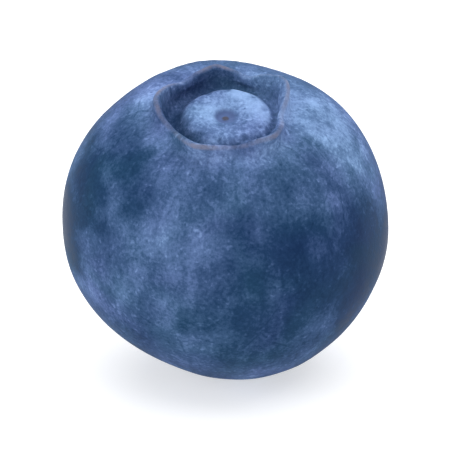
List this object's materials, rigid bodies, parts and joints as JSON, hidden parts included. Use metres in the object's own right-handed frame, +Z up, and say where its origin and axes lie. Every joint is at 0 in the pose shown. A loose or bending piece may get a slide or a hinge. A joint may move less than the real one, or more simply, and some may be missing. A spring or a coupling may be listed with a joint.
{
  "type": "blueberry",
  "caption": "Ripe blueberry: a round body with a lobed calyx crown round a sunken disc, a stem scar below and a small flat spot it rests on.",
  "frame": {"origin": "middle of the small flat spot the berry rests on", "axes": "+Z up; the crown's axis leans 20 degrees from +Z towards -Y, the front; +X is to the right seen from the front"},
  "size_m": [0.015, 0.0149, 0.0149],
  "materials": {
    "waxy_skin": "dark blue fruit skin under a pale, dusty wax bloom"
  },
  "bodies": {
    "root": {"blueberry": "waxy_skin"}
  },
  "joints": []
}
